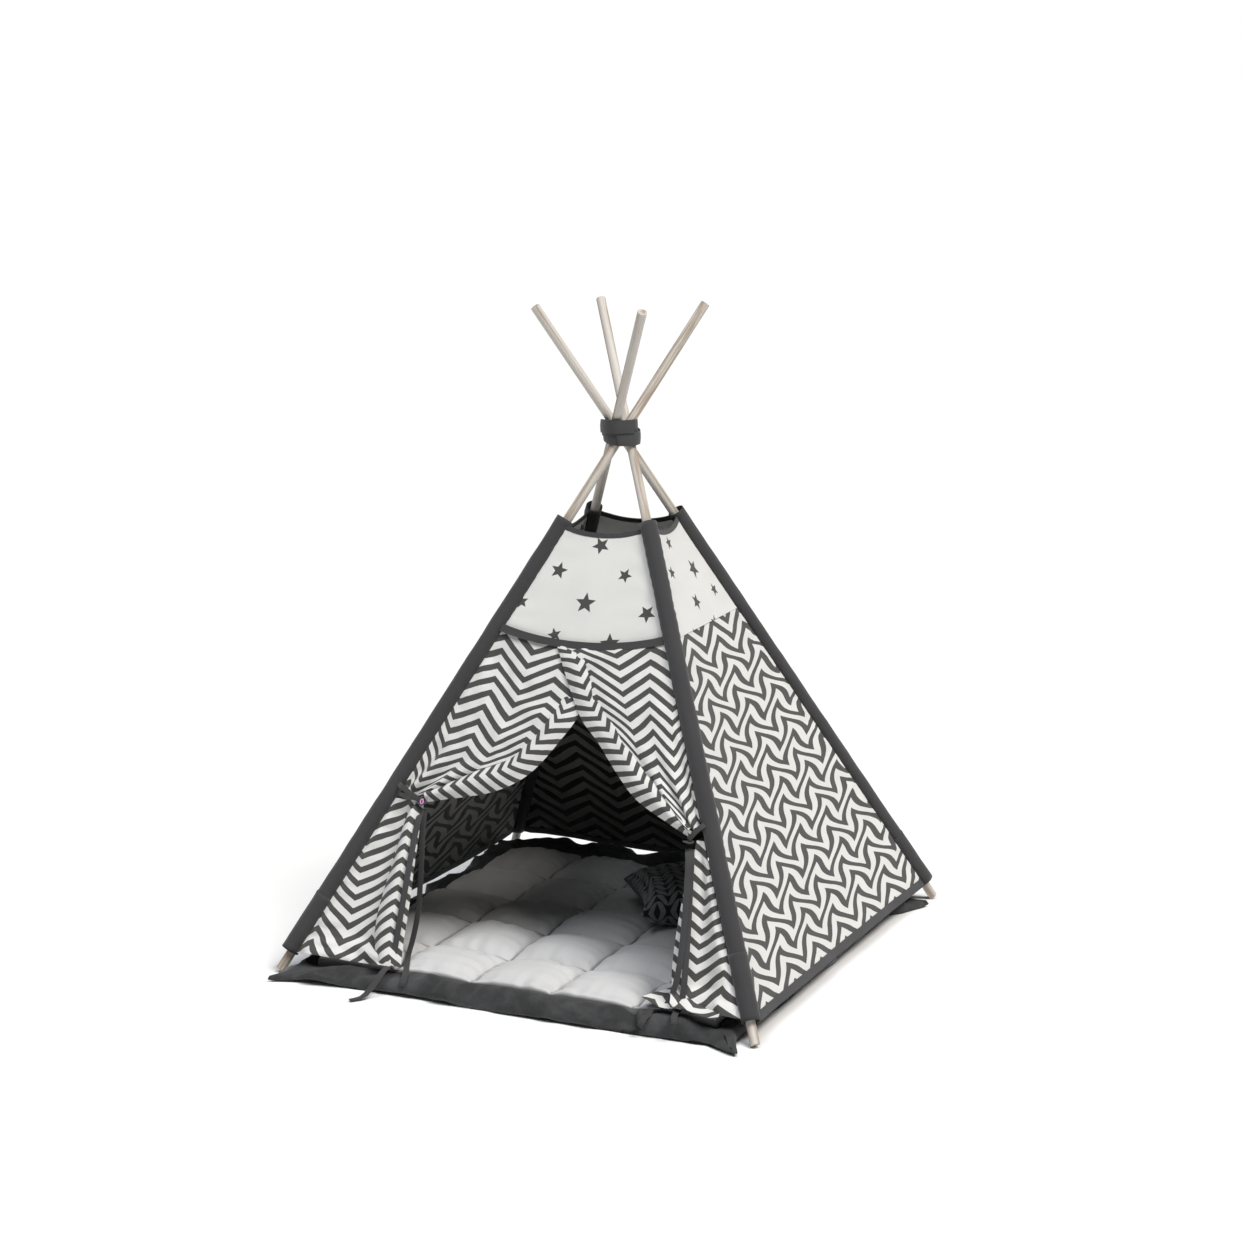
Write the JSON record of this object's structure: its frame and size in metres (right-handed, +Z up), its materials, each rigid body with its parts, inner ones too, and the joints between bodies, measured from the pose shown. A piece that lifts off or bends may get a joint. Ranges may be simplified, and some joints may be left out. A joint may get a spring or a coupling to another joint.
{
  "type": "teepee tent",
  "caption": "Child's play teepee: crossed wooden poles lashed at the top, printed cotton cover with tied-back door curtains, quilted floor mat and pillow.",
  "frame": {"origin": "on the floor, under the middle of the lashing", "axes": "+Z up, the door faces -Y, +X to the right of someone looking in through the door"},
  "size_m": [1.2102, 1.3115, 1.5276],
  "materials": {
    "pole_front_left": "bare sanded pine dowel",
    "sleeve_front_left": "plain dark grey cotton canvas",
    "sleeve_cuff_front_left": "doubled dark grey cotton canvas",
    "pole_front_right": "bare sanded pine dowel",
    "sleeve_front_right": "plain dark grey cotton canvas",
    "sleeve_cuff_front_right": "doubled dark grey cotton canvas",
    "pole_back_right": "bare sanded pine dowel",
    "sleeve_back_right": "plain dark grey cotton canvas",
    "sleeve_cuff_back_right": "doubled dark grey cotton canvas",
    "pole_back_left": "bare sanded pine dowel",
    "sleeve_back_left": "plain dark grey cotton canvas",
    "sleeve_cuff_back_left": "doubled dark grey cotton canvas",
    "lashing_strap": "dark grey canvas strap, wound",
    "rim_binding_front": "dark grey bias binding",
    "star_panel_front": "white cotton printed with dark grey stars",
    "rim_binding_right": "dark grey bias binding",
    "star_panel_right": "white cotton printed with dark grey stars",
    "rim_binding_back": "dark grey bias binding",
    "star_panel_back": "white cotton printed with dark grey stars",
    "rim_binding_left": "dark grey bias binding",
    "star_panel_left": "white cotton printed with dark grey stars",
    "wall_right": "white cotton printed with dark grey zigzags",
    "wall_hem_right": "dark grey bias binding",
    "wall_back": "white cotton printed with dark grey zigzags",
    "wall_hem_back": "dark grey bias binding",
    "wall_left": "white cotton printed with dark grey zigzags",
    "wall_hem_left": "dark grey bias binding",
    "scalloped_binding": "dark grey bias binding",
    "curtain_left": "white cotton printed with dark grey chevrons",
    "tie_ribbon_left": "dark grey woven tape",
    "tie_tail_left_inner": "dark grey woven tape",
    "tie_tail_left_outer": "dark grey woven tape",
    "curtain_right": "white cotton printed with dark grey chevrons",
    "tie_ribbon_right": "dark grey woven tape",
    "tie_tail_right_inner": "dark grey woven tape",
    "tie_tail_right_outer": "dark grey woven tape",
    "mat_cover": "plain dark grey cotton canvas",
    "mat_quilt": "light grey quilted cotton",
    "pillow": "dark grey cotton printed with black leaves"
  },
  "bodies": {
    "cover": {"lashing_strap": "lashing_strap", "rim_binding_front": "rim_binding_front", "rim_binding_right": "rim_binding_right", "rim_binding_back": "rim_binding_back", "rim_binding_left": "rim_binding_left", "star_panel_front": "star_panel_front", "star_panel_right": "star_panel_right", "star_panel_back": "star_panel_back", "star_panel_left": "star_panel_left", "scalloped_binding": "scalloped_binding", "wall_right": "wall_right", "wall_back": "wall_back", "wall_left": "wall_left", "wall_hem_right": "wall_hem_right", "wall_hem_back": "wall_hem_back", "wall_hem_left": "wall_hem_left", "curtain_left": "curtain_left", "curtain_right": "curtain_right"},
    "leg_front_left": {"pole_front_left": "pole_front_left", "sleeve_front_left": "sleeve_front_left", "sleeve_cuff_front_left": "sleeve_cuff_front_left", "tie_ribbon_left": "tie_ribbon_left", "tie_tail_left_inner": "tie_tail_left_inner", "tie_tail_left_outer": "tie_tail_left_outer"},
    "leg_front_right": {"pole_front_right": "pole_front_right", "sleeve_front_right": "sleeve_front_right", "sleeve_cuff_front_right": "sleeve_cuff_front_right", "tie_ribbon_right": "tie_ribbon_right", "tie_tail_right_inner": "tie_tail_right_inner", "tie_tail_right_outer": "tie_tail_right_outer"},
    "leg_back_right": {"pole_back_right": "pole_back_right", "sleeve_back_right": "sleeve_back_right", "sleeve_cuff_back_right": "sleeve_cuff_back_right"},
    "leg_back_left": {"pole_back_left": "pole_back_left", "sleeve_back_left": "sleeve_back_left", "sleeve_cuff_back_left": "sleeve_cuff_back_left"},
    "mat": {"mat_cover": "mat_cover", "mat_quilt": "mat_quilt"},
    "pillow": {"pillow": "pillow"}
  },
  "joints": [
    {"name": "fold_front_left", "type": "hinge", "parent": "cover", "child": "leg_front_left", "pos_m": [0.01245, -0.013, 1.227], "axis": [0.6919, -0.722, 0], "range_deg": [0, 29], "deforming": ["rim_binding_front", "rim_binding_right", "rim_binding_back", "rim_binding_left", "star_panel_front", "star_panel_right", "star_panel_back", "star_panel_left", "scalloped_binding", "wall_right", "wall_back", "wall_left", "wall_hem_right", "wall_hem_back", "wall_hem_left", "curtain_left", "curtain_right", "tie_ribbon_left", "tie_ribbon_right", "tie_tail_left_inner", "tie_tail_left_outer", "tie_tail_right_inner", "tie_tail_right_outer", "mat_cover", "mat_quilt", "pillow"]},
    {"name": "fold_front_right", "type": "hinge", "parent": "cover", "child": "leg_front_right", "pos_m": [0.013, 0.01245, 1.227], "axis": [0.722, 0.6919, 0], "range_deg": [0, 29]},
    {"name": "fold_back_right", "type": "hinge", "parent": "cover", "child": "leg_back_right", "pos_m": [-0.01245, 0.013, 1.227], "axis": [-0.6919, 0.722, 0], "range_deg": [0, 29]},
    {"name": "fold_back_left", "type": "hinge", "parent": "cover", "child": "leg_back_left", "pos_m": [-0.013, -0.01245, 1.227], "axis": [-0.722, -0.6919, 0], "range_deg": [0, 29]},
    {"name": "mat_slide_out", "type": "slide", "parent": "cover", "child": "mat", "axis": [0, -1, 0], "range_m": [0, 1.25]},
    {"name": "pillow_take_out", "type": "slide", "parent": "mat", "child": "pillow", "axis": [-0.2503, -0.9512, 0.1802], "range_m": [0, 0.95]}
  ],
  "couplings": [
    {"joint": "fold_front_right", "follows": "fold_front_left", "ratio": 1},
    {"joint": "fold_back_right", "follows": "fold_front_left", "ratio": 1},
    {"joint": "fold_back_left", "follows": "fold_front_left", "ratio": 1}
  ]
}
